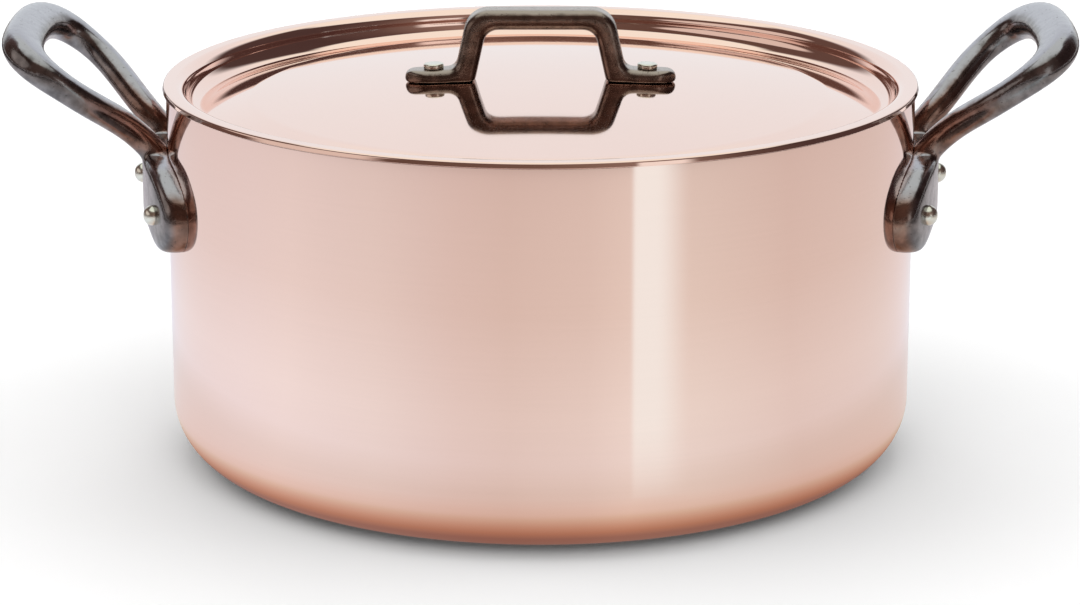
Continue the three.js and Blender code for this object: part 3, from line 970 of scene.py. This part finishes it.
def bridge_block(bm, lid, bridge, inset, half):
    """Adds the bridge's side view, drawn in by a distance and as deep as twice a half width, with
    its two tips round in plan."""
    slab = bmesh.new()
    tip = bridge.opening / 2 + bridge.thickness + bridge.foot_length - inset
    draw_line(slab, bridge_outline(lid, bridge, inset), closed=True)
    bmesh.ops.contextual_create(slab, geom=slab.edges[:])
    for side in (-1, 1):
        for i in range(TIP_STEPS):
            reach = tip - half + half * math.sin(math.pi / 2 * i / TIP_STEPS)
            cut_across(slab, side * reach, side)
    back, front = thicken(slab)
    for verts, side in ((back, 1), (front, -1)):
        for vert in verts:
            past = max((abs(vert.co.x) - (tip - half)) / half, 0)
            vert.co.y = side * half * math.sqrt(max(1 - past * past, TIP_BLUNT ** 2))
    close_block(slab)
    mesh = mesh_of(slab, "bridge_slab")
    bm.from_mesh(mesh)
    bpy.data.meshes.remove(mesh)


class STEWPOT_OT_cast_lid_handle(bpy.types.Operator):
    """Casts the lid's bridge handle"""

    bl_idname = "stew_pot.cast_lid_handle"
    bl_label = "Cast lid handle"

    def execute(self, context):
        bridge = context.scene.stew_pot_lid_handle
        colours = context.scene.stew_pot_colours
        bm = bmesh.new()
        for i in range(ROUND_STEPS + 1):
            angle = math.pi / 2 * i / ROUND_STEPS
            inset = bridge.edge_round * (1 - math.cos(angle))
            half = bridge.width / 2 - bridge.edge_round * (1 - math.sin(angle))
            bridge_block(bm, context.scene.stew_pot_lid, bridge, inset, half)
        casting = cast(bm, "bridge", bridge.skin, BRIDGE_FILING)
        # The lid's handle passes its own iron as the copper's tone, so it gets no painted copper
        # reflection
        iron = iron_finish(
            "rough cast iron", colours.lid_iron, colours.lid_top_sheen, colours.lid_iron,
            gloss=0.16, grain=0.24, waves=0.4,
        )
        show("lid_iron_handle", casting, iron, "lid", "lid_handle")
        return {"FINISHED"}


def rivet(name, rivets, grip, head, height, dome, seat_gap):
    """A rivet on +Z: a head rounded over a share of its height, the shank, and a low inner head."""
    low = -grip - 2 * seat_gap
    bm = bmesh.new()
    draw_line(bm, [
        (0, low - rivets.inner_height, 0),
        (rivets.inner_head, low - rivets.inner_height, INNER_DOME * rivets.inner_height),
        (rivets.inner_head, low, 0),
        (rivets.shank, low, 0),
        (rivets.shank, -seat_gap, 0),
        (head, -seat_gap, HEAD_FOOT_ROUND),
        (head, height, dome * height),
        (0, height, 0),
    ])
    cut_long_edges(bm, RIVET_STEP)
    turn(bm, RIVET_STEPS)
    return mesh_of(bm, name)


class STEWPOT_OT_set_rivets(bpy.types.Operator):
    """Sets the rivets of the side handles and of the lid's handle"""

    bl_idname = "stew_pot.set_rivets"
    bl_label = "Set rivets"

    def execute(self, context):
        steel = rivet_finish("rivet steel", context.scene.stew_pot_colours.rivet)
        self.set_side_rivets(context.scene, steel)
        self.set_lid_rivets(context.scene, steel)
        return {"FINISHED"}

    def set_side_rivets(self, scene, steel):
        pot = scene.stew_pot_pot
        handle = scene.stew_pot_side_handle
        rivets = scene.stew_pot_rivet
        seat = pot.radius + handle.seat_gap
        lobe_angle = math.asin(handle.lobe_spread / (seat + handle.lobe_plate))
        spots = [
            (0, handle.plate_top - handle.rivet_drop, handle.plate),
            (-lobe_angle, handle.lobe_height, handle.lobe_plate),
            (lobe_angle, handle.lobe_height, handle.lobe_plate),
        ]
        sides = [
            ("right", 0, ("top", "front", "back")),
            ("left", math.pi, ("top", "back", "front")),
        ]
        for side, half_turn, names in sides:
            for name, (angle, height, thickness) in zip(names, spots):
                grip = pot.copper + pot.bond + pot.lining + handle.seat_gap + thickness - rivets.spot_face
                label = f"{side}_rivet_{name}"
                mesh = rivet(
                    label, rivets, grip, rivets.side_head, rivets.side_height, SIDE_DOME, handle.seat_gap,
                )
                out = seat + thickness - rivets.spot_face + handle.seat_gap
                facing = Matrix.Rotation(half_turn + angle, 4, "Z")
                place = Matrix.Translation((out, 0, height)) @ Matrix.Rotation(math.pi / 2, 4, "Y")
                mesh.transform(facing @ place)
                show(label, mesh, steel, "pot", f"{side}_handle_rivet_{name}")

    def set_lid_rivets(self, scene, steel):
        lid = scene.stew_pot_lid
        bridge = scene.stew_pot_lid_handle
        rivets = scene.stew_pot_rivet
        centre = lid.top - lid.dome_drop - lid.dome
        grip = lid.copper + lid.bond + lid.lining + bridge.foot + bridge.seat_gap
        out = bridge.opening / 2 + bridge.thickness + bridge.rivet_from_leg
        rise = lid.dome + bridge.foot + 2 * bridge.seat_gap
        for name, side in (("left", -1), ("right", 1)):
            label = f"lid_rivet_{name}"
            mesh = rivet(
                label, rivets, grip, rivets.lid_head, rivets.lid_height, LID_DOME, bridge.seat_gap,
            )
            tilt = Matrix.Rotation(side * math.asin(out / lid.dome), 4, "Y")
            mesh.transform(Matrix.Translation((0, 0, centre)) @ tilt @ Matrix.Translation((0, 0, rise)))
            show(label, mesh, steel, "lid", f"lid_handle_rivet_{name}")


def lamp(name, place, size, power):
    """A soft square studio lamp that points at the pot."""
    light = bpy.data.lights.new(name, "AREA")
    light.shape = "RECTANGLE"
    light.size = size
    light.size_y = size
    light.energy = power
    lit = bpy.data.objects.new(name, light)
    lit.location = place
    lit.rotation_euler = (LAMP_AIM - Vector(place)).to_track_quat("-Z", "Y").to_euler()
    lit.visible_glossy = False
    bpy.context.scene.collection.objects.link(lit)


def stage_piece(name, bm, material):
    mesh = mesh_of(bm, name)
    mesh.materials.append(material)
    piece = bpy.data.objects.new(name, mesh)
    bpy.context.scene.collection.objects.link(piece)
    return piece


def for_metal_only(card):
    """Lets only the metals' reflections see a card."""
    for ray in ("camera", "diffuse", "shadow", "transmission", "volume_scatter"):
        setattr(card, f"visible_{ray}", False)


def seen(rays):
    """Whether a ray is seen straight, in metal or through glass."""
    return rays.out("Is Camera Ray") + rays.out("Is Glossy Ray") + rays.out("Is Transmission Ray")


def spilled(rays):
    """Whether a ray has left a dull surface on its way."""
    return rays.math("MINIMUM", rays.out("Diffuse Depth"), 1)


def floor_finish(rgb):
    """White floor that keeps its shadows: paint, and a little glow for the eye and for the metals. Far
    from the pot it turns into the white background."""
    finish = Finish(bpy.data.materials.new("white floor"))
    rays = finish.node("ShaderNodeLightPath")
    x, y, _ = finish.parts(finish.object_place())
    paint = finish.node("ShaderNodeBsdfDiffuse", {}, {"Color": opaque(rgb)})
    glow = finish.glow(opaque(WHITE), seen(rays) * FLOOR_GLOW)
    near = finish.node("ShaderNodeAddShader", {}, {0: paint, 1: glow})
    far = finish.span(off_axis(x, y), *FLOOR_WHITENS) * rays.out("Is Camera Ray")
    white = finish.glow(opaque(WHITE), 1.0)
    return finish.close(finish.node("ShaderNodeMixShader", {}, {0: far, 1: near, 2: white}))


def dark_card_finish():
    """Dark half of the studio with a pale window and a bright post in it, which fades out towards its top
    and its ends."""
    finish = Finish(bpy.data.materials.new("dark studio"))
    x, y, z = finish.parts(finish.object_place())
    heading = finish.heading(x, 0 - y)
    aside = (heading - WINDOW_HEADING) / WINDOW_SPREAD
    above = (z - WINDOW_HEIGHT) / WINDOW_RISE
    window = 1 - finish.span((aside ** 2 + above ** 2) ** 0.5, *WINDOW_EDGE)
    tone = finish.blend(window, finish.around(heading, DARK_AROUND), opaque(WINDOW_TONE))
    post = finish.band(heading, STRIP_START, POST_END) * (1 - finish.span(z, *POST_TOP))
    tone = finish.blend(post, tone, opaque(POST_TONE))
    turned = finish.node("ShaderNodeMath", {"operation": "ABSOLUTE"}, {0: heading})
    under_top = 1 - finish.span(z, DARK_HIGH - DARK_FADE, DARK_HIGH)
    shown = under_top * (1 - finish.span(turned, DARK_REACH - DARK_FADE, DARK_REACH))
    return finish.card(shown, finish.glow(tone, 1.0))


def ring_board_finish():
    """Grey board round the pot, a glow that only the metals see and a painted reflection of the floor: its
    tone changes with the direction from a focus before the pot's middle, where a round mirror seems to
    send its reflections from, it is dark and warm near the pot as a painted contact shadow and copper
    bounce, and its inner edge is soft."""
    finish = Finish(bpy.data.materials.new("ring board"))
    x, y, _ = finish.parts(finish.object_place())
    distance = off_axis(x, y)
    heading = finish.heading(x, 0 - y - BOARD_FOCUS)
    outward = finish.node("ShaderNodeValToRGB", {"stops": BOARD_OUTWARD}, {0: distance})
    tone = finish.node(
        "ShaderNodeMix", {"data_type": "RGBA", "blend_type": "MULTIPLY"},
        {0: 1.0, 6: finish.around(heading, BOARD_AROUND, 1 / BOARD_GLOW), 7: outward}, output=2,
    )
    strip = finish.band(heading, STRIP_START, STRIP_END) * finish.span(distance, *STRIP_OUTWARD)
    lit = finish.blend(strip, tone, opaque(STRIP_TONE))
    direct = 1 - spilled(finish.node("ShaderNodeLightPath"))
    shown = finish.span(distance, BOARD_INNER, BOARD_INNER + BOARD_EDGE)
    return finish.card(shown, finish.glow(lit, direct * BOARD_GLOW))


class STEWPOT_OT_set_stage(bpy.types.Operator):
    """Sets the floor, the cards, the lamps and the camera"""

    bl_idname = "stew_pot.set_stage"
    bl_label = "Set stage"

    def execute(self, context):
        scene = context.scene
        self.set_floor(scene.stew_pot_colours)
        self.set_cards()
        self.set_world(scene)
        for name, (place, size, power) in LAMPS.items():
            lamp(name, place, size, power)
        camera = bpy.data.objects.new("camera", bpy.data.cameras.new("camera"))
        camera.data.lens = CAMERA_LENS
        camera.location = CAMERA_PLACE
        camera.rotation_euler = (CAMERA_TILT, 0, 0)
        scene.collection.objects.link(camera)
        scene.camera = camera
        scene.view_settings.view_transform = "Standard"
        return {"FINISHED"}

    def set_floor(self, colours):
        drop = Matrix.Translation((0, 0, -FLOOR_DROP))
        bm = bmesh.new()
        bmesh.ops.create_circle(bm, cap_ends=True, radius=FLOOR_RADIUS, segments=RING_STEPS, matrix=drop)
        stage_piece("floor", bm, floor_finish(colours.floor))

    def set_cards(self):
        lift = Matrix.Translation((0, 0, BOARD_LIFT))
        board = bmesh.new()
        for radius in (BOARD_INNER, BOARD_OUTER):
            bmesh.ops.create_circle(board, radius=radius, segments=RING_STEPS, matrix=lift)
        bmesh.ops.bridge_loops(board, edges=board.edges[:])
        for_metal_only(stage_piece("ring_board", board, ring_board_finish()))
        dark = bmesh.new()
        low, high = (dark.verts.new((0, -DARK_RADIUS, z)) for z in (DARK_LOW, DARK_HIGH))
        edge = dark.edges.new((low, high))
        start = Matrix.Rotation(-DARK_REACH, 3, "Z")
        bmesh.ops.rotate(dark, verts=dark.verts, cent=(0, 0, 0), matrix=start)
        bmesh.ops.spin(
            dark, geom=[low, high, edge], cent=(0, 0, 0), axis=(0, 0, 1),
            angle=2 * DARK_REACH, steps=DARK_STEPS,
        )
        for_metal_only(stage_piece("dark_surround", dark, dark_card_finish()))

    def set_world(self, scene):
        scene.world = bpy.data.worlds.new("white studio")
        finish = Finish(scene.world)
        rays = finish.node("ShaderNodeLightPath")
        mirrored = rays.out("Is Glossy Ray")
        _, _, up = finish.parts(finish.node("ShaderNodeTexCoord", output="Generated"))
        overhead = finish.span(up, *OVERHEAD)
        mirror_tint = finish.blend(overhead, opaque(HORIZON_TINT), opaque(OVERHEAD_TINT))
        tint = finish.blend(mirrored, opaque(WHITE), mirror_tint)
        spill = mirrored * spilled(rays)
        tint = finish.blend(spill, tint, opaque(SPILL_TINT))
        strength = ROOM_LIGHT + seen(rays) * (1 - ROOM_LIGHT) + spill * SPILL_LIGHT
        room = finish.node("ShaderNodeBackground", {}, {"Color": tint, "Strength": strength})
        finish.node("ShaderNodeOutputWorld", {}, {"Surface": room})


OPERATORS = (
    STEWPOT_OT_turn_pot,
    STEWPOT_OT_turn_lid,
    STEWPOT_OT_cast_side_handles,
    STEWPOT_OT_cast_lid_handle,
    STEWPOT_OT_set_rivets,
    STEWPOT_OT_set_stage,
)

GROUPS = {
    "stew_pot_pot": StewPotPotSizes,
    "stew_pot_lid": StewPotLidSizes,
    "stew_pot_side_handle": StewPotSideHandleSizes,
    "stew_pot_lid_handle": StewPotLidHandleSizes,
    "stew_pot_rivet": StewPotRivetSizes,
    "stew_pot_colours": StewPotColours,
}


class STEWPOT_PT_panel(bpy.types.Panel):
    """Lists the steps that build the pot"""

    bl_idname = "STEWPOT_PT_panel"
    bl_label = "Stew pot"
    bl_space_type = "VIEW_3D"
    bl_region_type = "UI"
    bl_category = "Stew Pot"

    def draw(self, context):
        for operator in OPERATORS:
            self.layout.operator(operator.bl_idname)
        for attribute, group in GROUPS.items():
            box = self.layout.box()
            for name in group.__annotations__:
                box.prop(getattr(context.scene, attribute), name)


def register():
    for cls in (*GROUPS.values(), *OPERATORS, STEWPOT_PT_panel):
        bpy.utils.register_class(cls)
    for attribute, group in GROUPS.items():
        setattr(bpy.types.Scene, attribute, bpy.props.PointerProperty(type=group))


def unregister():
    for attribute in GROUPS:
        delattr(bpy.types.Scene, attribute)
    for cls in reversed((*GROUPS.values(), *OPERATORS, STEWPOT_PT_panel)):
        bpy.utils.unregister_class(cls)


def main():
    register()
    bpy.ops.stew_pot.set_stage()
    bpy.ops.stew_pot.turn_pot()
    bpy.ops.stew_pot.turn_lid()
    bpy.ops.stew_pot.cast_side_handles()
    bpy.ops.stew_pot.cast_lid_handle()
    bpy.ops.stew_pot.set_rivets()


if __name__ == "__main__":
    main()
